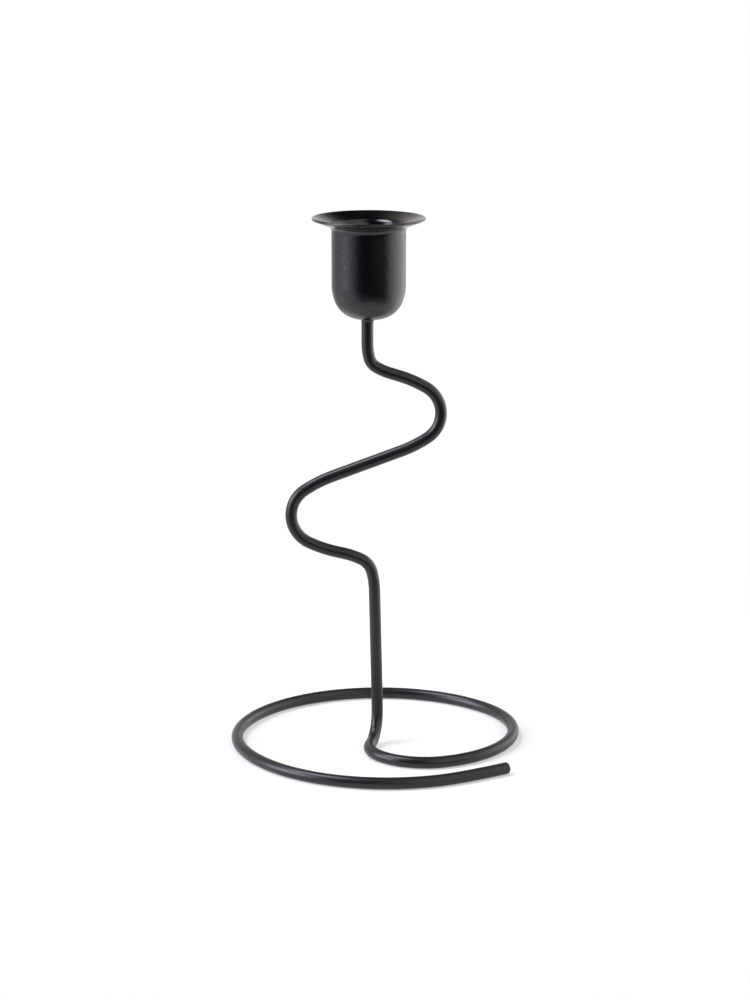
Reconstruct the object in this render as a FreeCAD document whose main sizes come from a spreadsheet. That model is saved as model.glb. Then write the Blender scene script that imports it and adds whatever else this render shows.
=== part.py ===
"""Spiral candle holder: one bent wire that carries a drawn steel cup for a taper candle.

Origin on the table, at the centre of the base's footprint. +Z is up, -Y is the front, +X the right.
Lengths are in millimetres and angles in degrees.
"""
import FreeCAD, Part

import math
import os

import Sketcher

doc = FreeCAD.newDocument("spiral_candle_holder")

# Driving dimensions
DIMENSIONS = (
    # The wire, with its coat
    ("wire_diameter", 4.0),
    ("wire_end_rounding", 0.8),
    # The foot, where the upright turns into the base
    ("foot_bend_radius", 8.7),
    ("foot_swing", 14.6),
    # The zigzag from the foot up to the cup: runs by length and slope, bends by radius
    ("riser_sweep_radius", 300.0),
    ("riser_lean", 1.3),
    ("riser_length", 36.8),
    ("riser_bend_radius", 6.8),
    ("lower_run_length", 1.3),
    ("lower_slope", 12.1),
    ("left_bend_radius", 10.6),
    ("middle_run_length", 24.7),
    ("middle_slope", 20.6),
    ("right_bend_radius", 10.2),
    ("upper_run_length", 2.7),
    ("upper_slope", 16.8),
    ("neck_bend_radius", 5.2),
    ("neck_run_length", 8.1),
    # Every bend of the zigzag starts and ends in a gentler arc
    ("easing_angle", 13.3),
    ("easing_radius_share", 4.3),
    # The flat spiral on the table, from the foot round to the free end
    ("curl_radius", 13.9),
    ("curl_angle", 55.8),
    ("entry_radius", 20.5),
    ("entry_angle", 67.1),
    ("right_radius", 36.2),
    ("right_angle", 110.8),
    ("back_radius", 49.7),
    ("back_angle", 120.4),
    ("left_radius", 43.9),
    ("left_angle", 40.5),
    ("front_radius", 52.3),
    ("front_angle", 97.2),
    ("tail_radius", 182.0),
    ("tail_angle", 5.2),
    ("tail_run_length", 2.7),
    # The cup, drawn from sheet: bore, straight wall, bowl and flared brim
    ("cup_bore_diameter", 23.0),
    ("sheet_thickness", 0.9),
    ("bore_length", 17.6),
    ("shoulder_radius", 16.0),
    ("shoulder_angle", 20.0),
    ("seat_margin", 0.8),
    ("rim_diameter", 37.9),
    ("brim_bend_radius", 2.2),
    ("brim_slope", 21.5),
    # The cup sits a little to the right of the wire, on a bead of weld that leans the same way
    ("cup_offset", 0.45),
    ("bead_height", 1.5),
    ("bead_reach", 0.85),
    ("bead_offset", 0.35),
    # The bead's sections: depth below the cup as a share of its height, and share of its spread
    ("bead_upper_depth_share", 0.12),
    ("bead_upper_spread_share", 0.66),
    ("bead_lower_depth_share", 0.4),
    ("bead_lower_spread_share", 0.26),
    ("bead_edge_spread_share", 0.1),
)

sheet = doc.addObject("Spreadsheet::Sheet", "dims")
for row, (alias, number) in enumerate(DIMENSIONS, start=1):
    sheet.set("A%d" % row, alias)
    sheet.set("B%d" % row, str(number))
    sheet.setAlias("B%d" % row, alias)
doc.recompute()

# A sketch's numbers for the places on an edge, and for its own origin and axes
START, END, CENTRE = range(1, 4)
ORIGIN = ACROSS_AXIS = -START
UP_AXIS = -END

# Headings of a path, in radians
UPWARD = math.pi / 2
BACKWARD = math.pi


def size(alias):
    """The value of one driving dimension."""
    return float(sheet.get(alias))


def angle_of(alias):
    """The value of one driving angle, in radians."""
    return math.radians(size(alias))


def new_body(name):
    body = doc.addObject("PartDesign::Body", name)
    body.Label = name
    return body


def new_sketch(body, name, role):
    """An empty sketch on one of the body's own origin planes."""
    sketch = body.newObject("Sketcher::SketchObject", name)
    own_plane = next(f for f in body.Origin.OriginFeatures if f.Role == role)
    sketch.AttachmentSupport = [(own_plane, "")]
    sketch.MapMode = "FlatFace"
    return sketch


def bind(sketch, constraint, name, expression):
    """Adds a named constraint that follows an expression."""
    index = sketch.addConstraint(constraint)
    sketch.renameConstraint(index, name)
    sketch.setExpression("Constraints." + name, expression)


def measure(sketch, kind, edge, place, name):
    """Adds a named constraint that only measures a point from the sketch's origin."""
    index = sketch.addConstraint(Sketcher.Constraint(kind, ORIGIN, START, edge, place, 0.0))
    sketch.setDriving(index, False)
    sketch.renameConstraint(index, name)


def run(name, length, length_rule=None, heading_rule=None, guide=False):
    """A straight leg of a path. A leg without a rule gets that size from its neighbours."""
    return {"name": name, "straight": True, "length": length, "length_rule": length_rule,
            "heading_rule": heading_rule, "guide": guide}


def bend(name, radius, turn, radius_rule=None, turn_rule=None):
    """A round leg of a path; a positive turn goes to the left."""
    return {"name": name, "straight": False, "radius": radius, "turn": turn,
            "radius_rule": radius_rule, "turn_rule": turn_rule, "guide": False}


def sized_run(name, alias, heading_rule=None, guide=False):
    """A straight leg whose length is a driving dimension."""
    return run(name, size(alias), "dims." + alias, heading_rule, guide)


def draw_path(sketch, start, heading, legs):
    """Draws the legs end to end, each tangent to the one before, then binds their sizes."""
    point = FreeCAD.Vector(start[0], start[1], 0)
    edges = {}
    last_place = None
    for leg in legs:
        leg["heading"] = heading
        if leg["straight"]:
            step = FreeCAD.Vector(math.cos(heading), math.sin(heading), 0) * leg["length"]
            edge = sketch.addGeometry(Part.LineSegment(point, point + step), leg["guide"])
            first = START
            last = END
            point = point + step
        else:
            side = math.copysign(1, leg["turn"])
            spoke = FreeCAD.Vector(math.sin(heading), -math.cos(heading), 0) * (side * leg["radius"])
            centre = point - spoke
            begin = heading - side * math.pi / 2
            finish = begin + leg["turn"]
            circle = Part.Circle(centre, FreeCAD.Vector(0, 0, 1), leg["radius"])
            arc = Part.ArcOfCircle(circle, min(begin, finish), max(begin, finish))
            edge = sketch.addGeometry(arc, leg["guide"])
            first = START if side > 0 else END
            last = END if side > 0 else START
            point = centre + FreeCAD.Vector(math.cos(finish), math.sin(finish), 0) * leg["radius"]
            heading = heading + leg["turn"]
        if last_place:
            before, place = last_place
            sketch.addConstraint(Sketcher.Constraint("Tangent", before, place, edge, first))
        last_place = (edge, last)
        edges[leg["name"]] = edge
    for leg in legs:
        name = leg["name"]
        edge = edges[name]
        if leg.get("length_rule"):
            length = Sketcher.Constraint("Distance", edge, leg["length"])
            bind(sketch, length, name + "_length", leg["length_rule"])
        if leg.get("heading_rule"):
            angle = Sketcher.Constraint("Angle", edge, leg["heading"])
            bind(sketch, angle, name + "_heading", leg["heading_rule"])
        if leg.get("radius_rule"):
            radius = Sketcher.Constraint("Radius", edge, leg["radius"])
            bind(sketch, radius, name + "_radius", leg["radius_rule"])
        if leg.get("turn_rule"):
            span = Sketcher.Constraint("Angle", edge, abs(leg["turn"]))
            bind(sketch, span, name + "_turn", leg["turn_rule"])
    return edges, last_place


def eased_bend(name, turn):
    """A bend of the zigzag: a tight arc led in and out by a gentle one."""
    alias = name + "_radius"
    easing = math.copysign(angle_of("easing_angle"), turn)
    easing_rule = "dims.easing_angle * 1 deg"
    gentle = size("easing_radius_share") * size(alias)
    gentle_rule = "dims.easing_radius_share * dims." + alias
    return [
        bend(name + "_in", gentle, easing, gentle_rule, easing_rule),
        bend(name, size(alias), turn - 2 * easing, "dims." + alias),
        bend(name + "_out", gentle, easing, gentle_rule, easing_rule),
    ]


def round_sketch(body, name, role, radius, radius_rule):
    """A circle about the sketch's origin."""
    sketch = new_sketch(body, name, role)
    sketch.addGeometry(Part.Circle(FreeCAD.Vector(), FreeCAD.Vector(0, 0, 1), radius), False)
    sketch.addConstraint(Sketcher.Constraint("Coincident", 0, CENTRE, ORIGIN, START))
    bind(sketch, Sketcher.Constraint("Radius", 0, radius), "radius", radius_rule)
    return sketch


def wire_section(body, name, role):
    return round_sketch(body, name, role, size("wire_diameter") / 2, "dims.wire_diameter / 2")


def sweep_wire(body, name, section, path):
    """Runs the wire's round section along a path."""
    pipe = body.newObject("PartDesign::AdditivePipe", name)
    pipe.Profile = section
    pipe.Spine = (path, [])
    body.Tip = pipe
    doc.recompute()
    return pipe


# The upright: a zigzag in the plane that faces the front
wire = new_body("wire_frame")
foot_top_rule = "dims.wire_diameter / 2 + dims.foot_bend_radius"
foot_top = size("wire_diameter") / 2 + size("foot_bend_radius")
riser_heading = UPWARD + angle_of("riser_lean")
lower_heading = BACKWARD - angle_of("lower_slope")
middle_heading = angle_of("middle_slope")
upper_heading = BACKWARD - angle_of("upper_slope")
sweep_radius = size("riser_sweep_radius")
stem_legs = [bend("riser_sweep", sweep_radius, riser_heading - UPWARD, "dims.riser_sweep_radius")]
stem_legs += [sized_run("riser", "riser_length", "90 deg + dims.riser_lean * 1 deg")]
stem_legs += eased_bend("riser_bend", lower_heading - riser_heading)
stem_legs += [sized_run("lower_run", "lower_run_length", "180 deg - dims.lower_slope * 1 deg")]
stem_legs += eased_bend("left_bend", middle_heading - lower_heading)
stem_legs += [sized_run("middle_run", "middle_run_length", "dims.middle_slope * 1 deg")]
stem_legs += eased_bend("right_bend", upper_heading - middle_heading)
stem_legs += [sized_run("upper_run", "upper_run_length", "180 deg - dims.upper_slope * 1 deg")]
stem_legs += eased_bend("neck_bend", UPWARD - upper_heading)
stem_legs += [sized_run("neck_run", "neck_run_length", "90 deg")]

stem_path = new_sketch(wire, "stem_path", "XZ_Plane")
stem_edges, stem_top = draw_path(stem_path, (0, foot_top), UPWARD, stem_legs)
stem_path.addConstraint(Sketcher.Constraint("PointOnObject", 0, START, UP_AXIS))
stem_path.addConstraint(Sketcher.Constraint("Horizontal", 0, START, 0, CENTRE))
foot_mark = Sketcher.Constraint("DistanceY", ORIGIN, START, 0, START, foot_top)
bind(stem_path, foot_mark, "foot_top", foot_top_rule)
measure(stem_path, "DistanceX", stem_top[0], stem_top[1], "top_across")
measure(stem_path, "DistanceY", stem_top[0], stem_top[1], "top_height")
stem_section = wire_section(wire, "stem_section", "XY_Plane")
stem_section.setExpression("AttachmentOffset.Base.z", foot_top_rule)
sweep_wire(wire, "stem_wire", stem_section, stem_path)

# The foot: a quarter turn from the upright down into the base
foot_path = new_sketch(wire, "foot_path", "XZ_Plane")
turned = FreeCAD.Rotation(FreeCAD.Vector(0, -1, 0), math.degrees(UPWARD) + size("foot_swing"))
foot_path.AttachmentOffset = FreeCAD.Placement(FreeCAD.Vector(), turned)
foot_path.setExpression("AttachmentOffset.Rotation.Angle", "90 deg + dims.foot_swing * 1 deg")
foot_radius = size("foot_bend_radius")
foot_circle = Part.Circle(FreeCAD.Vector(foot_radius, foot_top, 0), FreeCAD.Vector(0, 0, 1), foot_radius)
foot_path.addGeometry(Part.ArcOfCircle(foot_circle, math.pi, 1.5 * math.pi), False)
foot_path.addConstraint(Sketcher.Constraint("PointOnObject", 0, START, UP_AXIS))
foot_path.addConstraint(Sketcher.Constraint("Horizontal", 0, START, 0, CENTRE))
foot_path.addConstraint(Sketcher.Constraint("Vertical", 0, END, 0, CENTRE))
bind(foot_path, Sketcher.Constraint("Radius", 0, foot_radius), "bend_radius", "dims.foot_bend_radius")
foot_mark = Sketcher.Constraint("DistanceY", ORIGIN, START, 0, START, foot_top)
bind(foot_path, foot_mark, "foot_top", foot_top_rule)
foot_section = wire_section(wire, "foot_section", "XY_Plane")
foot_section.setExpression("AttachmentOffset.Base.z", foot_top_rule)
sweep_wire(wire, "foot_wire", foot_section, foot_path)

# The base: a flat spiral of tangent arcs, from the foot round to the free end
base_path = new_sketch(wire, "base_path", "XY_Plane")
base_path.setExpression("AttachmentOffset.Base.z", "dims.wire_diameter / 2")
foot_heading = -UPWARD - angle_of("foot_swing")
foot_heading_rule = "-90 deg - dims.foot_swing * 1 deg"
base_legs = [sized_run("foot_reach", "foot_bend_radius", foot_heading_rule, True)]
for name in ("curl", "entry", "right", "back", "left", "front", "tail"):
    radius_alias = name + "_radius"
    turn_alias = name + "_angle"
    turn_rule = "dims." + turn_alias + " * 1 deg"
    arc = bend(name, size(radius_alias), angle_of(turn_alias), "dims." + radius_alias, turn_rule)
    base_legs.append(arc)
base_legs.append(sized_run("tail_run", "tail_run_length"))
base_edges, base_end = draw_path(base_path, (0, 0), foot_heading, base_legs)
base_path.addConstraint(Sketcher.Constraint("Coincident", 0, START, ORIGIN, START))
measure(base_path, "DistanceX", base_edges["right"], CENTRE, "right_centre")
measure(base_path, "DistanceX", base_edges["left"], CENTRE, "left_centre")
measure(base_path, "DistanceY", base_edges["back"], CENTRE, "back_centre")
measure(base_path, "DistanceY", base_edges["front"], CENTRE, "front_centre")
base_section = wire_section(wire, "base_section", "XZ_Plane")
turned = FreeCAD.Rotation(FreeCAD.Vector(0, -1, 0), size("foot_swing"))
base_section.AttachmentOffset = FreeCAD.Placement(FreeCAD.Vector(), turned)
base_section.setExpression("AttachmentOffset.Rotation.Angle", "dims.foot_swing * 1 deg")
swing_rule = "dims.foot_swing * 1 deg"
base_section.setExpression("AttachmentOffset.Base.x", "-dims.foot_bend_radius * sin(%s)" % swing_rule)
base_section.setExpression("AttachmentOffset.Base.y", "dims.wire_diameter / 2")
base_section.setExpression("AttachmentOffset.Base.z", "dims.foot_bend_radius * cos(%s)" % swing_rule)
base_wire = sweep_wire(wire, "base_wire", base_section, base_path)

# The free end's edge is rounded
end_point = base_path.Placement.multVec(base_path.getPoint(base_end[0], base_end[1]))
end_distances = [edge.CenterOfMass.distanceToPoint(end_point) for edge in base_wire.Shape.Edges]
end_edge = end_distances.index(min(end_distances)) + 1
end_rounding = wire.newObject("PartDesign::Fillet", "end_rounding")
end_rounding.Base = (base_wire, ["Edge%d" % end_edge])
end_rounding.Radius = size("wire_end_rounding")
end_rounding.setExpression("Radius", "dims.wire_end_rounding")
wire.Tip = end_rounding

# The origin goes to the middle of the base's footprint
wire.setExpression("Placement.Base.x", "-(base_path.Constraints.right_centre + dims.right_radius * 1 mm"
                   " + base_path.Constraints.left_centre - dims.left_radius * 1 mm) / 2")
wire.setExpression("Placement.Base.y", "-(base_path.Constraints.back_centre + dims.back_radius * 1 mm"
                   " + base_path.Constraints.front_centre - dims.front_radius * 1 mm) / 2")
doc.recompute()

# The cup: one sheet profile turned about the cup's axis
cup = new_body("candle_cup")
thickness = size("sheet_thickness")
wall_radius = size("cup_bore_diameter") / 2 + thickness
lip_radius = thickness / 2
seat_radius = size("wire_diameter") / 2 + size("seat_margin")
shoulder_turn = angle_of("shoulder_angle")
shoulder_radius = size("shoulder_radius")
shoulder_width = shoulder_radius * (1 - math.cos(shoulder_turn))
corner_turn = UPWARD - shoulder_turn
corner_radius = (wall_radius - seat_radius - shoulder_width) / math.cos(shoulder_turn)
brim_slope = angle_of("brim_slope")
brim_turn = UPWARD - brim_slope
brim_bend_radius = size("brim_bend_radius")
lip_reach = size("rim_diameter") / 2 - lip_radius
brim_length = (lip_reach - wall_radius - brim_bend_radius) / math.cos(brim_slope)
brim_length += (brim_bend_radius + lip_radius) * math.tan(brim_slope)
cup_legs = [
    run("seat", seat_radius, "dims.wire_diameter / 2 + dims.seat_margin", "0 deg"),
    bend("corner", corner_radius, corner_turn),
    bend("shoulder", shoulder_radius, shoulder_turn, "dims.shoulder_radius", "dims.shoulder_angle * 1 deg"),
    sized_run("wall", "bore_length", "90 deg"),
    bend("brim_bend", brim_bend_radius, -brim_turn, "dims.brim_bend_radius"),
    run("brim", brim_length, None, "dims.brim_slope * 1 deg"),
    bend("lip", lip_radius, BACKWARD, "dims.sheet_thickness / 2"),
    run("inner_brim", brim_length),
    bend("inner_brim_bend", brim_bend_radius + thickness, brim_turn),
    run("inner_wall", size("bore_length")),
    bend("inner_shoulder", shoulder_radius - thickness, -shoulder_turn),
    bend("inner_corner", corner_radius - thickness, -corner_turn),
    run("floor", seat_radius),
]
cup_profile = new_sketch(cup, "cup_profile", "XZ_Plane")
cup_edges, cup_last = draw_path(cup_profile, (0, 0), 0, cup_legs)
floor_middle = FreeCAD.Vector(0, thickness, 0)
axis_edge = cup_profile.addGeometry(Part.LineSegment(floor_middle, FreeCAD.Vector()), False)
cup_profile.addConstraint(Sketcher.Constraint("Coincident", cup_last[0], cup_last[1], axis_edge, START))
cup_profile.addConstraint(Sketcher.Constraint("Coincident", axis_edge, END, cup_edges["seat"], START))
cup_profile.addConstraint(Sketcher.Constraint("Coincident", cup_edges["seat"], START, ORIGIN, START))
cup_profile.addConstraint(Sketcher.Constraint("Vertical", axis_edge))
cup_profile.addConstraint(Sketcher.Constraint("Horizontal", cup_edges["floor"]))
cup_profile.addConstraint(Sketcher.Constraint("Vertical", cup_edges["inner_wall"]))
cup_profile.addConstraint(Sketcher.Constraint("Parallel", cup_edges["brim"], cup_edges["inner_brim"]))
for name in ("corner", "shoulder", "brim_bend"):
    outer = cup_edges[name]
    inner = cup_edges["inner_" + name]
    cup_profile.addConstraint(Sketcher.Constraint("Coincident", outer, CENTRE, inner, CENTRE))
wall_reach = Sketcher.Constraint("DistanceX", ORIGIN, START, cup_edges["wall"], START, wall_radius)
bind(cup_profile, wall_reach, "wall_radius", "dims.cup_bore_diameter / 2 + dims.sheet_thickness")
lip_mark = Sketcher.Constraint("DistanceX", ORIGIN, START, cup_edges["lip"], CENTRE, lip_reach)
bind(cup_profile, lip_mark, "lip_centre", "dims.rim_diameter / 2 - dims.sheet_thickness / 2")
cup_turned = cup.newObject("PartDesign::Revolution", "cup_turned")
cup_turned.Profile = cup_profile
cup_turned.ReferenceAxis = (cup_profile, ["V_Axis"])
cup_turned.Angle = 360
cup.Tip = cup_turned
cup.setExpression("Placement.Base.x", "wire_frame.Placement.Base.x + stem_path.Constraints.top_across"
                                      " + dims.cup_offset * 1 mm")
cup.setExpression("Placement.Base.y", "wire_frame.Placement.Base.y")
cup.setExpression("Placement.Base.z", "stem_path.Constraints.top_height")

# The bead of weld: a ring round the wire's end that widens up to the cup
weld = new_body("neck_weld")


def bead_section(name, depth_share, spread_share):
    """The hole for the wire and the bead's outline, at one depth below the cup."""
    section = wire_section(weld, name, "XY_Plane")
    section.setExpression("AttachmentOffset.Base.z", "-dims.bead_height * " + depth_share)
    outline_centre = FreeCAD.Vector(size("bead_offset"), 0, 0)
    outline_radius = size("wire_diameter") / 2 + size("bead_reach")
    outline_circle = Part.Circle(outline_centre, FreeCAD.Vector(0, 0, 1), outline_radius)
    outline = section.addGeometry(outline_circle, False)
    radius = Sketcher.Constraint("Radius", outline, outline_radius)
    bind(section, radius, "outline", "dims.wire_diameter / 2 + dims.bead_reach * " + spread_share)
    section.addConstraint(Sketcher.Constraint("PointOnObject", outline, CENTRE, ACROSS_AXIS))
    offset = Sketcher.Constraint("DistanceX", ORIGIN, START, outline, CENTRE, size("bead_offset"))
    bind(section, offset, "offset", "dims.bead_offset * " + spread_share)
    return section


bead_sections = [
    bead_section("bead_top", "0", "1"),
    bead_section("bead_upper", "dims.bead_upper_depth_share", "dims.bead_upper_spread_share"),
    bead_section("bead_lower", "dims.bead_lower_depth_share", "dims.bead_lower_spread_share"),
    bead_section("bead_edge", "1", "dims.bead_edge_spread_share"),
]
bead = weld.newObject("PartDesign::AdditiveLoft", "bead")
bead.Profile = bead_sections[0]
bead.Sections = bead_sections[1:]
weld.Tip = bead
weld.setExpression("Placement.Base.x", "wire_frame.Placement.Base.x + stem_path.Constraints.top_across")
weld.setExpression("Placement.Base.y", "wire_frame.Placement.Base.y")
weld.setExpression("Placement.Base.z", "stem_path.Constraints.top_height")
doc.recompute()

# Every object is sound before anything is written
for item in doc.Objects:
    if "Invalid" in item.State or "Error" in item.State:
        raise RuntimeError("%s is not sound: %s" % (item.Name, item.State))
for body in (wire, cup, weld):
    if body.Shape.isNull() or not body.Shape.isValid() or len(body.Shape.Solids) != 1:
        raise RuntimeError("%s is not one valid solid" % body.Label)

os.makedirs("parts", exist_ok=True)
for body in (wire, cup, weld):
    body.Shape.exportStep(os.path.join("parts", body.Label + ".step"))
    print(body.Label, round(body.Shape.Volume), body.Shape.optimalBoundingBox())
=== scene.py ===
"""Dresses the spiral candle holder: its bent wire, its drawn cup, the weld between them and a studio."""

import math

import bmesh
import bpy
from bpy.props import FloatProperty, FloatVectorProperty, IntProperty, PointerProperty
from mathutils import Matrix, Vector


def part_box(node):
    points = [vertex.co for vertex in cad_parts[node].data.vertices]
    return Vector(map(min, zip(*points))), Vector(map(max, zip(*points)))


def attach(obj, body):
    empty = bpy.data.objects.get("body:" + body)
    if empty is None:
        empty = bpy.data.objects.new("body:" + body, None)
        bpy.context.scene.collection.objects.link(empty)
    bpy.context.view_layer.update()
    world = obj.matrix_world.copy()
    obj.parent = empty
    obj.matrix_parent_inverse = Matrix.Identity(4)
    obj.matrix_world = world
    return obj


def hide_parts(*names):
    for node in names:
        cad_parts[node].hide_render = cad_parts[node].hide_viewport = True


bl_info = {
    "name": "Spiral Candle Holder",
    "version": (1, 0, 0),
    "blender": (4, 5, 0),
    "location": "View3D > Sidebar > Candle Holder",
    "description": "Makes the wire, cup, weld and studio of a spiral candle holder",
    "category": "Add Mesh",
}

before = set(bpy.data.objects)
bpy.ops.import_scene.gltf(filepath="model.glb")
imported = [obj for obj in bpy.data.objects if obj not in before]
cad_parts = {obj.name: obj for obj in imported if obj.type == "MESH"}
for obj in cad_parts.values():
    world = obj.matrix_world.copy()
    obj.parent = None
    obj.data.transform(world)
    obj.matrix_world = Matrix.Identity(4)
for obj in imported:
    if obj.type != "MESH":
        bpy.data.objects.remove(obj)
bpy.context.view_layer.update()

MM = 0.001
UP = Vector((0, 0, 1))

# How finely the meshes follow their shapes
PROFILE_STEP = 0.35 * MM
END_RINGS = 8
END_CLEARING_SHARE = 1.5
FLOOR_SIDES = 128

# The weld's groove, as a share of the bead's height, and the ripples round it
GROOVE_DEPTH_SHARE = 0.07
BROAD_RIPPLES = 7
BROAD_RIPPLE_START = 1.3
FINE_RIPPLES = 11
FINE_RIPPLE_SHARE = 0.6
FINE_RIPPLE_SLANT = 4

# The coat's patterns: how fine and how high they are beside the grains, and where a painted glint fades out
PEEL_FINENESS_SHARE = 0.28
PEEL_HEIGHT_SHARE = 1.6
DRIFT_FINENESS_SHARE = 0.03
GLINT_FINENESS_SHARE = 0.9
GLINT_EDGE = (0.30, 0.18)

# How far colour and roughness drift with the coat's tone
TONE_RANGE = (0.35, 0.65)
LIGHTER_SHARE = 1.5
ROUGHNESS_RANGE = (0.3, 0.7)
ROUGHNESS_DRIFT = 0.03
SMOOTH_ROUGHNESS_DRIFT = 0.02

# How the coat lies: its grains' height on wire and weld beside the cup's, and how strongly it mirrors
WIRE_RELIEF_SHARE = 0.4
WELD_RELIEF_SHARE = 0.5
SMOOTH_LEVELLING_SHARE = 0.75
PLAIN_COAT_IOR = 1.5
SKINNED_COAT_IOR = 1.40

# The cup's coat: where it thins at the edge and the sheen is painted there, in sheets, and where the brim
# starts, in bends below the top
THIN_SHEEN_START_SHARE = 0.55
THIN_SHEEN_MOST_SHARE = 0.8
BRIM_START_SHARE = 2.35
BRIM_FULL_SHARE = 1.9

FLOOR_ROUGHNESS = 0.9


def length(name, millimetres, description):
    """A length, given in millimetres."""
    return FloatProperty(name=name, description=description, default=millimetres * MM, unit="LENGTH")


def angle(name, degrees, description):
    """An angle, given in degrees."""
    return FloatProperty(name=name, description=description, default=math.radians(degrees), subtype="ANGLE")


def share(name, value, description):
    """A share of one."""
    return FloatProperty(name=name, description=description, default=value, subtype="FACTOR")


def colour(name, value, description):
    """A colour, given as linear red, green and blue."""
    return FloatVectorProperty(name=name, description=description, default=value, subtype="COLOR",
                               size=3, min=0, max=1)


class WireSizes(bpy.types.PropertyGroup):
    """Sizes of the bent wire, from its foot up to the cup and from its foot round the base."""

    diameter: length("Wire", 4.0, "Diameter of the wire with its coat")
    end_rounding: length("End rounding", 0.8, "Rounding of the free end's edge")
    foot_radius: length("Foot bend", 8.7, "Radius of the bend from the upright into the base")
    foot_swing: angle("Foot swing", 14.6, "How far the foot points to the left of the front")
    sweep_radius: length("Riser sweep", 300.0, "Radius of the riser's slight bow above the foot")
    riser_lean: angle("Riser lean", 1.3, "Lean of the riser to the left")
    riser_length: length("Riser", 36.8, "Straight length of the riser")
    riser_bend: length("Riser bend", 6.8, "Radius of the bend at the top of the riser")
    lower_length: length("Lower run", 1.3, "Straight length of the run out to the left")
    lower_slope: angle("Lower slope", 12.1, "Rise of the lower run")
    left_bend: length("Left bend", 10.6, "Radius of the bend at the far left")
    middle_length: length("Middle run", 24.7, "Straight length of the run across to the right")
    middle_slope: angle("Middle slope", 20.6, "Rise of the middle run")
    right_bend: length("Right bend", 10.2, "Radius of the bend at the far right")
    upper_length: length("Upper run", 2.7, "Straight length of the run back to the middle")
    upper_slope: angle("Upper slope", 16.8, "Rise of the upper run")
    neck_bend: length("Neck bend", 5.2, "Radius of the bend under the cup")
    neck_length: length("Neck", 8.1, "Straight length of the neck under the cup")
    easing_angle: angle("Easing", 13.3, "Turn of the gentle arc at either side of a bend")
    easing_share: FloatProperty(name="Easing share", default=4.3,
                                description="Radius of that arc as a multiple of the bend's own")
    curl_radius: length("Curl", 13.9, "Radius of the base's tight first arc")
    curl_angle: angle("Curl turn", 55.8, "Turn of the first arc")
    entry_radius: length("Entry", 20.5, "Radius of the arc that leads to the right")
    entry_angle: angle("Entry turn", 67.1, "Turn of the second arc")
    right_radius: length("Right side", 36.2, "Radius of the ring's right side")
    right_angle: angle("Right turn", 110.8, "Turn of the right side")
    back_radius: length("Back", 49.7, "Radius of the ring's back")
    back_angle: angle("Back turn", 120.4, "Turn of the back")
    left_radius: length("Left side", 43.9, "Radius of the ring's left side")
    left_angle: angle("Left turn", 40.5, "Turn of the left side")
    front_radius: length("Front", 52.3, "Radius of the ring's front")
    front_angle: angle("Front turn", 97.2, "Turn of the front")
    tail_radius: length("Tail", 182.0, "Radius of the nearly straight tail")
    tail_angle: angle("Tail turn", 5.2, "Turn of the tail")
    tail_length: length("Tail run", 2.7, "Straight length at the free end")
    ring_step: length("Ring step", 0.5, "Distance between the mesh's rings along the wire")
    sides: IntProperty(name="Sides", default=44, description="Faces round the wire")


class CupSizes(bpy.types.PropertyGroup):
    """Sizes of the drawn cup."""

    bore: length("Bore", 23.0, "Inner diameter of the straight wall")
    sheet: length("Sheet", 0.9, "Thickness of the sheet with its coat")
    wall_length: length("Wall", 17.6, "Length of the straight wall")
    shoulder_radius: length("Shoulder", 16.0, "Radius of the gentle arc under the wall")
    shoulder_angle: angle("Shoulder turn", 20.0, "Turn of that arc")
    seat_margin: length("Seat margin", 0.8, "Flat land round the wire under the cup")
    brim_bend: length("Brim bend", 2.2, "Radius of the bend between wall and brim")
    brim_slope: angle("Brim slope", 21.5, "Rise of the brim towards its edge")
    segments: IntProperty(name="Segments", default=192, description="Faces round the cup")


class WeldSizes(bpy.types.PropertyGroup):
    """Sizes of the weld's bead."""

    lean: length("Lean", 0.35, "How far the bead's wide end lies to the right of the wire")
    spread: length("Spread", 0.85, "How far the bead stands out from the wire under the cup")
    edge_spread_share: share("Edge spread", 0.06, "Spread at the bead's lower edge, as a share")
    crevice_share: share("Crevice", 0.34, "Depth of the groove under the cup, as a share of the spread")
    ripple: length("Ripple", 0.035, "Height of the ripples that the weld pool left")
    segments: IntProperty(name="Segments", default=96, description="Faces round the bead")
    levels: IntProperty(name="Levels", default=28, description="Rings of faces down the bead")


class CoatLooks(bpy.types.PropertyGroup):
    """The black powder coat."""

    black: colour("Coat", (0.0020, 0.0020, 0.0022), "The coat's own colour")
    # Painted sheen: the brim's edge is made lighter in the colour itself, for the light it catches, beside
    # the thinner coat there
    thin_coat_and_sheen: colour("Thin coat", (0.013, 0.012, 0.010), "The coat where it is thin, over an edge")
    grain: length("Grain", 0.50, "Width of the coat's grains")
    relief: length("Relief", 0.044, "Height of the coat's grains")
    wire_roughness: share("Wire roughness", 0.42, "Roughness of the coat on the wire")
    gleam: share("Gleam", 0.28, "Share of the glossier skin on the wire's coat")
    gleam_roughness: share("Gleam roughness", 0.22, "Roughness of that skin")
    # Painted glints: a few grains near the brim's edge lit up in the colour itself
    painted_glints: share("Painted Glints", 0.16, "Share of the grains that catch the light where the coat is thin")
    painted_glint_colour: colour("Fleck colour", (0.22, 0.22, 0.23), "Colour of the grains that catch the light")
    cup_roughness: share("Cup roughness", 0.28, "Roughness of the coat on the cup's wall")
    brim_roughness: share("Brim roughness", 0.17, "Roughness of the smoother coat on the brim")


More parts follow.
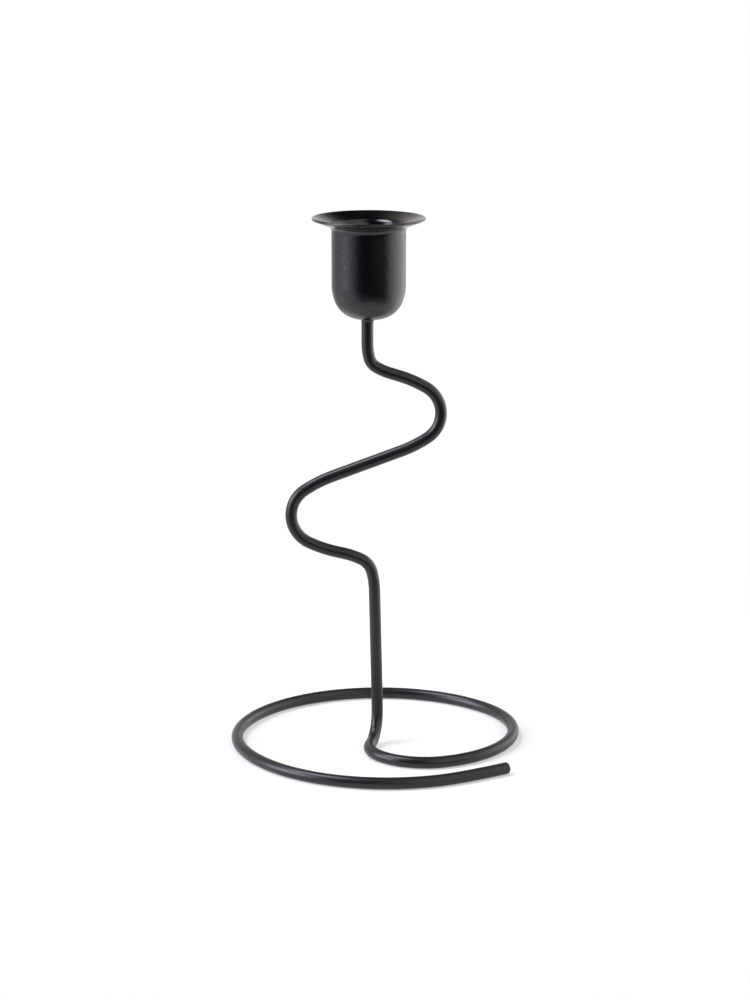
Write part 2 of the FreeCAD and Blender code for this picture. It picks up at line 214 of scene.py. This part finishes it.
class StudioLooks(bpy.types.PropertyGroup):
    """The floor, the lights and the camera."""

    floor_colour: colour("Floor", (0.62, 0.62, 0.61), "Colour of the floor")
    floor_radius: length("Floor radius", 220.0, "Radius of the round floor")
    floor_lift: share("Floor lift", 0.36, "Light added to the floor where it is seen")
    camera_distance: length("Distance", 870.58, "How far the camera stands in front of the origin")
    camera_height: length("Height", 298.0, "The camera's height above the floor")
    camera_aside: length("Aside", -0.25, "How far the camera stands to the right")
    camera_tilt: angle("Tilt", 13.674, "How far the camera looks down")
    lens: FloatProperty(name="Lens", default=95, unit="CAMERA", description="Focal length of the lens")
    sensor_width: FloatProperty(name="Sensor", default=36, unit="CAMERA",
                                description="Longer side of the camera's sensor")


# Shapes


def walk(point, heading, legs, step):
    """Points along straight legs (length,) and round legs (radius, turn), each tangent to the last."""
    points = [Vector(point)]
    for leg in legs:
        start = points[-1]
        if len(leg) == 1:
            count = max(1, math.ceil(leg[0] / step))
            along = Vector((math.cos(heading), math.sin(heading))) * leg[0]
            points += [start + along * (i / count) for i in range(1, count + 1)]
            continue
        radius, turn = leg
        side = math.copysign(1, turn)
        count = max(2, math.ceil(radius * abs(turn) / step))
        spoke = Vector((math.sin(heading), -math.cos(heading))) * (side * radius)
        centre = start - spoke
        for i in range(1, count + 1):
            part = turn * i / count
            points.append(centre + Vector((spoke.x * math.cos(part) - spoke.y * math.sin(part),
                                           spoke.x * math.sin(part) + spoke.y * math.cos(part))))
        heading += turn
    return points


def eased(radius, turn, wire):
    """A bend of the zigzag with its gentle arcs at either side."""
    easing = math.copysign(wire.easing_angle, turn)
    gentle = (radius * wire.easing_share, easing)
    return [gentle, (radius, turn - 2 * easing), gentle]


def wire_route(wire):
    """The wire's centre line, from the cup down to the foot and round to the free end."""
    upward = math.pi / 2
    riser = upward + wire.riser_lean
    lower = math.pi - wire.lower_slope
    middle = wire.middle_slope
    upper = math.pi - wire.upper_slope
    foot_height = wire.diameter / 2 + wire.foot_radius
    step = wire.ring_step
    stem_legs = [(wire.sweep_radius, wire.riser_lean), (wire.riser_length,)]
    stem_legs += eased(wire.riser_bend, lower - riser, wire) + [(wire.lower_length,)]
    stem_legs += eased(wire.left_bend, middle - lower, wire) + [(wire.middle_length,)]
    stem_legs += eased(wire.right_bend, upper - middle, wire) + [(wire.upper_length,)]
    stem_legs += eased(wire.neck_bend, upward - upper, wire) + [(wire.neck_length,)]
    stem = walk((0, foot_height), upward, stem_legs, step)
    foot = walk((0, foot_height), -upward, [(wire.foot_radius, upward)], step)
    heading = -upward - wire.foot_swing
    ahead = Vector((math.cos(heading), math.sin(heading)))
    base_legs = [(getattr(wire, part + "_radius"), getattr(wire, part + "_angle"))
                 for part in ("curl", "entry", "right", "back", "left", "front", "tail")]
    base_legs += [(wire.tail_length,)]
    base = walk(ahead * wire.foot_radius, heading, base_legs, step)
    middle_x = (min(p.x for p in base) + max(p.x for p in base)) / 2
    middle_y = (min(p.y for p in base) + max(p.y for p in base)) / 2
    route = [Vector((p.x, 0, p.y)) for p in reversed(stem)]
    route += [Vector((ahead.x * p.x, ahead.y * p.x, p.y)) for p in foot[1:]]
    route += [Vector((p.x, p.y, wire.diameter / 2)) for p in base[1:]]
    return [p - Vector((middle_x, middle_y, 0)) for p in route]


def crowd_end(route, rounding):
    """Puts the route's last points closer together towards its end, where the edge is rounded."""
    tip = route[-1]
    while (route[-1] - tip).length < rounding * END_CLEARING_SHARE:
        route = route[:-1]
    back = (route[-1] - tip).normalized()
    for i in range(END_RINGS + 1):
        turn = math.pi / 2 * i / END_RINGS
        route.append(tip + back * (rounding * (1 - math.sin(turn))))
    return route


def cup_legs(cup, wire_diameter, rim_radius):
    """The legs of the cup's section, from the middle of its underside round to the inside's middle."""
    quarter = math.pi / 2
    wall = cup.bore / 2 + cup.sheet
    seat = wire_diameter / 2 + cup.seat_margin
    shoulder = cup.shoulder_angle
    corner = quarter - shoulder
    corner_radius = (wall - seat - cup.shoulder_radius * (1 - math.cos(shoulder))) / math.cos(shoulder)
    lip = cup.sheet / 2
    brim = (rim_radius - lip - wall - cup.brim_bend) / math.cos(cup.brim_slope)
    brim += (cup.brim_bend + lip) * math.tan(cup.brim_slope)
    flare = quarter - cup.brim_slope
    return [
        (seat,), (corner_radius, corner), (cup.shoulder_radius, shoulder), (cup.wall_length,),
        (cup.brim_bend, -flare), (brim,), (lip, math.pi), (brim,), (cup.brim_bend + cup.sheet, flare),
        (cup.wall_length,), (cup.shoulder_radius - cup.sheet, -shoulder),
        (corner_radius - cup.sheet, -corner), (seat,),
    ]


def turns_round(count):
    """Evenly spaced turns, once round."""
    return [math.tau * i / count for i in range(count)]


def arm(turn):
    """A level arrow of length one, turned round from the right."""
    return Vector((math.cos(turn), math.sin(turn), 0))


def spun_mesh(name, profile, centre, segments):
    """A closed mesh of revolution; the profile starts and ends on the axis."""
    mesh = bmesh.new()
    first = mesh.verts.new(centre + UP * profile[0].y)
    last = mesh.verts.new(centre + UP * profile[-1].y)
    rings = []
    for point in profile[1:-1]:
        rings.append([mesh.verts.new(centre + arm(turn) * point.x + UP * point.y)
                      for turn in turns_round(segments)])
    for i in range(segments):
        j = (i + 1) % segments
        mesh.faces.new((first, rings[0][j], rings[0][i]))
        mesh.faces.new((last, rings[-1][i], rings[-1][j]))
        for lower, upper in zip(rings, rings[1:]):
            mesh.faces.new((lower[i], lower[j], upper[j], upper[i]))
    return finished_mesh(name, mesh)


def bead_mesh(weld, wire_centre, radius, bead_height):
    """A ring of weld round the wire's end: hollowed, with ripples and a groove under the cup."""
    mesh = bmesh.new()
    turns = turns_round(weld.segments)
    rings = []
    for level in range(weld.levels + 1):
        depth = level / weld.levels
        fillet = 1 - math.sqrt(1 - (1 - depth) ** 2)
        groove = weld.crevice_share * math.exp(-((depth / GROOVE_DEPTH_SHARE) ** 2))
        spread = max(weld.edge_spread_share, fillet - groove)
        ring = []
        for turn in turns:
            wave = math.sin(BROAD_RIPPLES * turn + BROAD_RIPPLE_START)
            wave += FINE_RIPPLE_SHARE * math.sin(FINE_RIPPLES * turn + FINE_RIPPLE_SLANT * depth)
            reach = radius + weld.spread * spread + weld.ripple * wave * spread * (1 - spread)
            side = arm(turn) * reach
            side.x += weld.lean * spread
            ring.append(mesh.verts.new(wire_centre + side - UP * (bead_height * depth)))
        rings.append(ring)
    for height in (-bead_height, 0):
        rings.append([mesh.verts.new(wire_centre + arm(turn) * radius + UP * height) for turn in turns])
    for ring, below in zip(rings, rings[1:] + rings[:1]):
        for i in range(weld.segments):
            j = (i + 1) % weld.segments
            mesh.faces.new((ring[i], below[i], below[j], ring[j]))
    return finished_mesh("weld_bead", mesh)


def finished_mesh(name, mesh):
    """Turns the bmesh into a smooth object with outward faces."""
    bmesh.ops.recalc_face_normals(mesh, faces=mesh.faces)
    data = bpy.data.meshes.new(name)
    mesh.to_mesh(data)
    mesh.free()
    return placed(name, data)


def placed(name, data):
    """Smooths the mesh and puts it in the scene as an object."""
    data.shade_smooth()
    piece = bpy.data.objects.new(name, data)
    bpy.context.scene.collection.objects.link(piece)
    return piece


def dress(piece, node, material):
    """The piece takes the CAD node's place, its body and its finish."""
    piece.data.materials.clear()
    piece.data.materials.append(material)
    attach(piece, "root")
    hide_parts(node)


# Nodes


def add_node(tree, kind, inputs=(), **settings):
    """A node with its settings, and its inputs set or linked by name or number."""
    node = tree.nodes.new(kind)
    for key, value in settings.items():
        setattr(node, key, value)
    for key, value in dict(inputs).items():
        if isinstance(value, bpy.types.NodeSocket):
            tree.links.new(value, node.inputs[key])
        else:
            node.inputs[key].default_value = value
    return node


def calculate(tree, operation, *values):
    """The result of a math node."""
    return add_node(tree, "ShaderNodeMath", dict(enumerate(values)), operation=operation).outputs[0]


def map_range(tree, value, low, high, to_low=0.0, to_high=1.0):
    """The value, eased from its own range into another."""
    inputs = {"Value": value, "From Min": low, "From Max": high, "To Min": to_low, "To Max": to_high}
    return add_node(tree, "ShaderNodeMapRange", inputs, interpolation_type="SMOOTHSTEP").outputs[0]


def mix_colour(tree, factor, first, second, blend="MIX"):
    """A mix of two colours. The mix node's sockets share names, so they are called by number."""
    sockets = {0: factor, 6: first, 7: second}
    return add_node(tree, "ShaderNodeMix", sockets, data_type="RGBA", blend_type=blend).outputs[2]


def mix_value(tree, factor, first, second):
    """A mix of two values, with the sockets called by number too."""
    return add_node(tree, "ShaderNodeMix", {0: factor, 2: first, 3: second}, data_type="FLOAT").outputs[0]


def new_group(name, kind, inputs, outputs):
    """A node group with named sockets, and its two end nodes."""
    group = bpy.data.node_groups.new(name, kind)
    for direction, sockets in (("INPUT", inputs), ("OUTPUT", outputs)):
        for socket_name, socket_kind in sockets:
            group.interface.new_socket(name=socket_name, in_out=direction, socket_type=socket_kind)
    return group, group.nodes.new("NodeGroupInput"), group.nodes.new("NodeGroupOutput")


def wire_tree():
    """Runs a round section along the wire's route and rounds the edge of its free end."""
    sockets = [("Route", "NodeSocketGeometry"), ("Radius", "NodeSocketFloat"),
               ("End Rounding", "NodeSocketFloat"), ("Sides", "NodeSocketInt"),
               ("Coat", "NodeSocketMaterial")]
    tree, given, result = new_group("Bent Wire", "GeometryNodeTree", sockets,
                                    [("Wire", "NodeSocketGeometry")])
    tree.is_modifier = True
    radius = given.outputs["Radius"]
    rounding = given.outputs["End Rounding"]
    here = add_node(tree, "GeometryNodeSplineParameter").outputs["Length"]
    whole = add_node(tree, "GeometryNodeSplineLength").outputs["Length"]
    to_end = calculate(tree, "SUBTRACT", whole, here)
    inside = calculate(tree, "SUBTRACT", rounding, calculate(tree, "MINIMUM", to_end, rounding))
    squares = calculate(tree, "SUBTRACT", calculate(tree, "MULTIPLY", rounding, rounding),
                        calculate(tree, "MULTIPLY", inside, inside))
    arc = calculate(tree, "SQRT", calculate(tree, "MAXIMUM", squares, 0.0))
    rounded = calculate(tree, "ADD", calculate(tree, "SUBTRACT", radius, rounding), arc)
    scale = calculate(tree, "DIVIDE", rounded, radius)
    section = add_node(tree, "GeometryNodeCurvePrimitiveCircle",
                       {"Resolution": given.outputs["Sides"], "Radius": radius})
    swept = add_node(tree, "GeometryNodeCurveToMesh",
                     {"Curve": given.outputs["Route"], "Profile Curve": section.outputs["Curve"],
                      "Scale": scale, "Fill Caps": True})
    whole_mesh = add_node(tree, "GeometryNodeRealizeInstances", {"Geometry": swept.outputs["Mesh"]})
    coated = add_node(tree, "GeometryNodeSetMaterial",
                      {"Geometry": whole_mesh.outputs["Geometry"], "Material": given.outputs["Coat"]})
    tree.links.new(coated.outputs["Geometry"], result.inputs["Wire"])
    return tree


def socket_id(tree, name):
    """The identifier of a tree's input."""
    return next(item.identifier for item in tree.interface.items_tree
                if item.item_type == "SOCKET" and item.in_out == "INPUT" and item.name == name)


def coat_grain_group():
    """The powder coat's surface: fine grains over a soft orange peel, drifts of tone and a mask of painted
    glints.
    """
    group, given, result = new_group(
        "Coat Grain", "ShaderNodeTree",
        [("Grain", "NodeSocketFloat"), ("Painted Glints", "NodeSocketFloat")],
        [("Height", "NodeSocketFloat"), ("Tone", "NodeSocketFloat"), ("Painted Glint", "NodeSocketFloat")])
    place = add_node(group, "ShaderNodeTexCoord").outputs["Object"]
    fine = calculate(group, "DIVIDE", 1.0, given.outputs["Grain"])
    grains = add_node(group, "ShaderNodeTexNoise",
                      {"Vector": place, "Scale": fine, "Detail": 3.0, "Roughness": 0.6}).outputs["Fac"]
    peel = add_node(group, "ShaderNodeTexNoise",
                    {"Vector": place, "Scale": calculate(group, "MULTIPLY", fine, PEEL_FINENESS_SHARE),
                     "Detail": 1.0}).outputs["Fac"]
    tone = add_node(group, "ShaderNodeTexNoise",
                    {"Vector": place, "Scale": calculate(group, "MULTIPLY", fine, DRIFT_FINENESS_SHARE),
                     "Detail": 4.0}).outputs["Fac"]
    cells = add_node(group, "ShaderNodeTexVoronoi",
                     {"Vector": place, "Scale": calculate(group, "MULTIPLY", fine, GLINT_FINENESS_SHARE)})
    chance = add_node(group, "ShaderNodeSeparateColor", {"Color": cells.outputs["Color"]}).outputs["Red"]
    chosen = calculate(group, "GREATER_THAN", given.outputs["Painted Glints"], chance)
    dot = map_range(group, cells.outputs["Distance"], *GLINT_EDGE)
    height = calculate(group, "MULTIPLY_ADD", peel, PEEL_HEIGHT_SHARE, grains)
    group.links.new(height, result.inputs["Height"])
    group.links.new(tone, result.inputs["Tone"])
    group.links.new(calculate(group, "MULTIPLY", dot, chosen), result.inputs["Painted Glint"])
    return group


def shared_grain():
    """The coat's grain, made at its first use."""
    return bpy.data.node_groups.get("Coat Grain") or coat_grain_group()


def coat_material(name, looks, roughness, relief, gleam, edge=None, gloss=None):
    """Black powder coat. Edge and gloss are functions that add the nodes for where it is thin, with painted
    sheen and painted glints, and where it is smooth.
    """
    material = bpy.data.materials.new(name)
    material.use_nodes = True
    tree = material.node_tree
    shader = tree.nodes["Principled BSDF"]
    grain = add_node(tree, "ShaderNodeGroup", node_tree=shared_grain())
    grain.inputs["Grain"].default_value = looks.grain
    grain.inputs["Painted Glints"].default_value = looks.painted_glints
    height, tone, glint = (grain.outputs[key] for key in ("Height", "Tone", "Painted Glint"))
    black = (*looks.black, 1)
    lighter = (*(LIGHTER_SHARE * part for part in looks.black), 1)
    drift = map_range(tree, tone, *TONE_RANGE)
    base = mix_colour(tree, drift, black, lighter)
    rough = map_range(tree, tone, *ROUGHNESS_RANGE, roughness - ROUGHNESS_DRIFT,
                      roughness + ROUGHNESS_DRIFT)
    smooth = 0.0
    if edge:
        # Painted sheen and painted glints at the brim's edge: a lighter colour and a few lit grains, put
        # into the base colour
        thin = edge(tree)
        base = mix_colour(tree, thin, base, (*looks.thin_coat_and_sheen, 1))
        glint_mask = calculate(tree, "MULTIPLY", glint, thin)
        base = mix_colour(tree, glint_mask, base, (*looks.painted_glint_colour, 1))
    if gloss:
        smooth = gloss(tree)
        smooth_rough = map_range(tree, tone, *ROUGHNESS_RANGE,
                                 looks.brim_roughness - SMOOTH_ROUGHNESS_DRIFT,
                                 looks.brim_roughness + SMOOTH_ROUGHNESS_DRIFT)
        rough = mix_value(tree, smooth, rough, smooth_rough)
    strength = calculate(tree, "MULTIPLY_ADD", smooth, -SMOOTH_LEVELLING_SHARE, 1.0)
    bump = add_node(tree, "ShaderNodeBump", {"Strength": strength, "Distance": relief, "Height": height})
    tree.links.new(base, shader.inputs["Base Color"])
    tree.links.new(rough, shader.inputs["Roughness"])
    tree.links.new(bump.outputs["Normal"], shader.inputs["Normal"])
    shader.inputs["IOR"].default_value = SKINNED_COAT_IOR if gleam else PLAIN_COAT_IOR
    shader.inputs["Coat Weight"].default_value = gleam
    shader.inputs["Coat Roughness"].default_value = looks.gleam_roughness
    return material


def axis_distance(tree, centre):
    """Distance of the surface from the cup's axis, and its height, in metres."""
    place = add_node(tree, "ShaderNodeTexCoord").outputs["Object"]
    parts = add_node(tree, "ShaderNodeSeparateXYZ", {"Vector": place})
    across = calculate(tree, "SUBTRACT", parts.outputs["X"], centre.x)
    deep = calculate(tree, "SUBTRACT", parts.outputs["Y"], centre.y)
    squares = calculate(tree, "ADD", calculate(tree, "MULTIPLY", across, across),
                        calculate(tree, "MULTIPLY", deep, deep))
    return calculate(tree, "SQRT", squares), parts.outputs["Z"]


# Pieces


class CANDLE_OT_bend_wire(bpy.types.Operator):
    """Bends the wire along its route"""

    bl_idname = "candle.bend_wire"
    bl_label = "Bend Wire"

    def execute(self, context):
        wire = context.scene.candle_wire
        looks = context.scene.candle_coat
        route = crowd_end(wire_route(wire), wire.end_rounding)
        curve = bpy.data.curves.new("wire_route", "CURVE")
        curve.dimensions = "3D"
        spline = curve.splines.new("POLY")
        spline.points.add(len(route) - 1)
        for point, place in zip(spline.points, route):
            point.co = (*place, 1)
        holder = bpy.data.objects.new("wire_route", curve)
        context.scene.collection.objects.link(holder)
        coat = coat_material("Black coat on wire", looks, looks.wire_roughness,
                             WIRE_RELIEF_SHARE * looks.relief, looks.gleam)
        tree = wire_tree()
        modifier = holder.modifiers.new("Bent Wire", "NODES")
        modifier.node_group = tree
        values = {"Radius": wire.diameter / 2, "End Rounding": wire.end_rounding, "Sides": wire.sides,
                  "Coat": coat}
        for key, value in values.items():
            modifier[socket_id(tree, key)] = value
        context.view_layer.update()
        evaluated = holder.evaluated_get(context.evaluated_depsgraph_get())
        data = bpy.data.meshes.new_from_object(evaluated)
        bpy.data.objects.remove(holder)
        data.name = "coated_wire"
        if not data.polygons:
            raise RuntimeError("the wire has no faces")
        piece = placed("coated_wire", data)
        dress(piece, "wire_frame", coat)
        return {"FINISHED"}


class CANDLE_OT_draw_cup(bpy.types.Operator):
    """Draws the cup from sheet, where the frame's cup stands"""

    bl_idname = "candle.draw_cup"
    bl_label = "Draw Cup"

    def execute(self, context):
        cup = context.scene.candle_cup
        wire = context.scene.candle_wire
        looks = context.scene.candle_coat
        low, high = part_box("candle_cup")
        centre = Vector(((low.x + high.x) / 2, (low.y + high.y) / 2, low.z))
        rim_radius = (high.x - low.x) / 2
        points = walk((0, 0), 0, cup_legs(cup, wire.diameter, rim_radius), PROFILE_STEP)
        points[-1].x = 0
        piece = spun_mesh("drawn_cup", points, centre, cup.segments)

        def edge_sheen_mask(tree):
            """Towards the brim's edge, where the coat thins and the sheen is painted."""
            reach, _ = axis_distance(tree, centre)
            start = rim_radius - THIN_SHEEN_START_SHARE * cup.sheet
            return map_range(tree, reach, start, rim_radius, 0.0, THIN_SHEEN_MOST_SHARE)

        def on_brim(tree):
            """From the bend between wall and brim upwards."""
            _, height = axis_distance(tree, centre)
            start = high.z - BRIM_START_SHARE * cup.brim_bend
            return map_range(tree, height, start, high.z - BRIM_FULL_SHARE * cup.brim_bend)

        coat = coat_material("Black coat on cup", looks, looks.cup_roughness, looks.relief, 0.0,
                             edge_sheen_mask, on_brim)
        dress(piece, "candle_cup", coat)
        return {"FINISHED"}


class CANDLE_OT_run_weld(bpy.types.Operator):
    """Runs the bead of weld round the wire's end"""

    bl_idname = "candle.run_weld"
    bl_label = "Run Weld"

    def execute(self, context):
        weld = context.scene.candle_weld
        wire = context.scene.candle_wire
        looks = context.scene.candle_coat
        low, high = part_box("neck_weld")
        radius = wire.diameter / 2
        bead_height = high.z - low.z
        wire_centre = Vector((high.x - weld.lean - weld.spread - radius, (low.y + high.y) / 2, high.z))
        piece = bead_mesh(weld, wire_centre, radius, bead_height)
        coat = coat_material("Black coat on weld", looks, looks.wire_roughness,
                             WELD_RELIEF_SHARE * looks.relief, looks.gleam)
        dress(piece, "neck_weld", coat)
        return {"FINISHED"}


# Studio

# Soft round lights: degrees from the front round to the right, degrees up, full and outer radius, colour
SOFT_LIGHTS = (
    (-92, 61, 10, 17, (9.6, 9.2, 10.6)),
    (-78, 19, 12, 25, (7.8, 7.6, 8.9)),
    (112, 0, 2, 64, (2.45, 2.41, 2.43)),
    (36, 32, 8, 38, (1.5, 1.5, 1.53)),
    (84, 68, 12, 25, (1.0, 1.0, 1.0)),
    (-74, -30, 12, 46, (1.20, 1.26, 1.42)),
    (-144, -1, 25, 60, (0.76, 0.70, 0.64)),
)

# The white that the object mirrors from behind it: its middle, and its full and outer radius in degrees
BACKDROP_WAY = (0, 0.995, -0.1)
BACKDROP_INNER = 4
BACKDROP_OUTER = 42


def round_patch(tree, sight, way, inner, outer):
    """One inside the inner radius round the way, and nothing outside the outer radius."""
    facing = add_node(tree, "ShaderNodeVectorMath", {0: sight, 1: way}, operation="DOT_PRODUCT")
    return map_range(tree, facing.outputs["Value"], math.cos(math.radians(outer)),
                     math.cos(math.radians(inner)))


def studio_world(world):
    """White where it is seen and where it is mirrored from behind the object, and elsewhere soft lights."""
    world.use_nodes = True
    tree = world.node_tree
    tree.nodes.clear()
    sight = add_node(tree, "ShaderNodeTexCoord").outputs["Generated"]
    total = (0, 0, 0, 1)
    for across, up, inner, outer, light in SOFT_LIGHTS:
        across, up = math.radians(across), math.radians(up)
        way = (math.sin(across) * math.cos(up), -math.cos(across) * math.cos(up), math.sin(up))
        patch = round_patch(tree, sight, way, inner, outer)
        total = mix_colour(tree, patch, total, (*light, 1), "ADD")
    path = add_node(tree, "ShaderNodeLightPath")
    behind = round_patch(tree, sight, BACKDROP_WAY, BACKDROP_INNER, BACKDROP_OUTER)
    mirrored = calculate(tree, "MULTIPLY", path.outputs["Is Glossy Ray"], behind)
    seen = calculate(tree, "MAXIMUM", path.outputs["Is Camera Ray"], path.outputs["Is Transmission Ray"])
    seen = calculate(tree, "MAXIMUM", seen, mirrored)
    lit = add_node(tree, "ShaderNodeBackground", {"Color": total, "Strength": 1.0})
    white = add_node(tree, "ShaderNodeBackground", {"Color": (1, 1, 1, 1), "Strength": 1.0})
    choice = add_node(tree, "ShaderNodeMixShader", {0: seen, 1: lit.outputs[0], 2: white.outputs[0]})
    output = add_node(tree, "ShaderNodeOutputWorld")
    tree.links.new(choice.outputs[0], output.inputs["Surface"])


def floor_material(looks):
    """A pale floor that is lifted to white where it is seen and keeps the object's shadow."""
    material = bpy.data.materials.new("Pale floor")
    material.use_nodes = True
    tree = material.node_tree
    shader = tree.nodes["Principled BSDF"]
    shader.inputs["Base Color"].default_value = (*looks.floor_colour, 1)
    shader.inputs["Roughness"].default_value = FLOOR_ROUGHNESS
    shader.inputs["Specular IOR Level"].default_value = 0.0
    path = add_node(tree, "ShaderNodeLightPath")
    lift = add_node(tree, "ShaderNodeEmission", {"Color": (1, 1, 1, 1), "Strength": looks.floor_lift})
    both = add_node(tree, "ShaderNodeAddShader", {0: shader.outputs[0], 1: lift.outputs[0]})
    seen = calculate(tree, "MAXIMUM", path.outputs["Is Camera Ray"], path.outputs["Is Transmission Ray"])
    seen = calculate(tree, "MAXIMUM", seen, path.outputs["Is Glossy Ray"])
    choice = add_node(tree, "ShaderNodeMixShader", {0: seen, 1: shader.outputs[0], 2: both.outputs[0]})
    output = tree.nodes["Material Output"]
    tree.links.new(choice.outputs[0], output.inputs["Surface"])
    return material


class CANDLE_OT_set_stage(bpy.types.Operator):
    """Lays the floor and sets the lights and the camera"""

    bl_idname = "candle.set_stage"
    bl_label = "Set Stage"

    def execute(self, context):
        looks = context.scene.candle_studio
        mesh = bmesh.new()
        bmesh.ops.create_circle(mesh, cap_ends=True, segments=FLOOR_SIDES, radius=looks.floor_radius)
        floor = finished_mesh("studio_floor", mesh)
        floor.data.materials.append(floor_material(looks))
        world = bpy.data.worlds.new("Studio")
        context.scene.world = world
        studio_world(world)
        data = bpy.data.cameras.new("Camera")
        data.lens = looks.lens
        data.sensor_width = looks.sensor_width
        camera = bpy.data.objects.new("Camera", data)
        camera.location = (looks.camera_aside, -looks.camera_distance, looks.camera_height)
        camera.rotation_euler = (math.pi / 2 - looks.camera_tilt, 0, 0)
        context.scene.collection.objects.link(camera)
        context.scene.camera = camera
        context.scene.view_settings.view_transform = "Standard"
        return {"FINISHED"}


class CANDLE_PT_maker(bpy.types.Panel):
    """Sizes, looks and makers of the candle holder"""

    bl_idname = "CANDLE_PT_maker"
    bl_label = "Candle Holder"
    bl_space_type = "VIEW_3D"
    bl_region_type = "UI"
    bl_category = "Candle Holder"

    def draw(self, context):
        layout = self.layout
        for operator in OPERATORS:
            layout.operator(operator.bl_idname)
        for group in GROUPS:
            box = layout.box()
            values = getattr(context.scene, group)
            for key in values.bl_rna.properties.keys():
                if key not in ("rna_type", "name"):
                    box.prop(values, key)


OPERATORS = (CANDLE_OT_bend_wire, CANDLE_OT_draw_cup, CANDLE_OT_run_weld, CANDLE_OT_set_stage)
GROUPS = {
    "candle_wire": WireSizes,
    "candle_cup": CupSizes,
    "candle_weld": WeldSizes,
    "candle_coat": CoatLooks,
    "candle_studio": StudioLooks,
}


def register():
    for group in GROUPS.values():
        bpy.utils.register_class(group)
    for key, group in GROUPS.items():
        setattr(bpy.types.Scene, key, PointerProperty(type=group))
    for operator in OPERATORS:
        bpy.utils.register_class(operator)
    bpy.utils.register_class(CANDLE_PT_maker)


def unregister():
    bpy.utils.unregister_class(CANDLE_PT_maker)
    for operator in reversed(OPERATORS):
        bpy.utils.unregister_class(operator)
    for key, group in reversed(GROUPS.items()):
        delattr(bpy.types.Scene, key)
        bpy.utils.unregister_class(group)


def main():
    register()
    bpy.ops.candle.bend_wire()
    bpy.ops.candle.draw_cup()
    bpy.ops.candle.run_weld()
    bpy.ops.candle.set_stage()


if __name__ == "__main__":
    main()
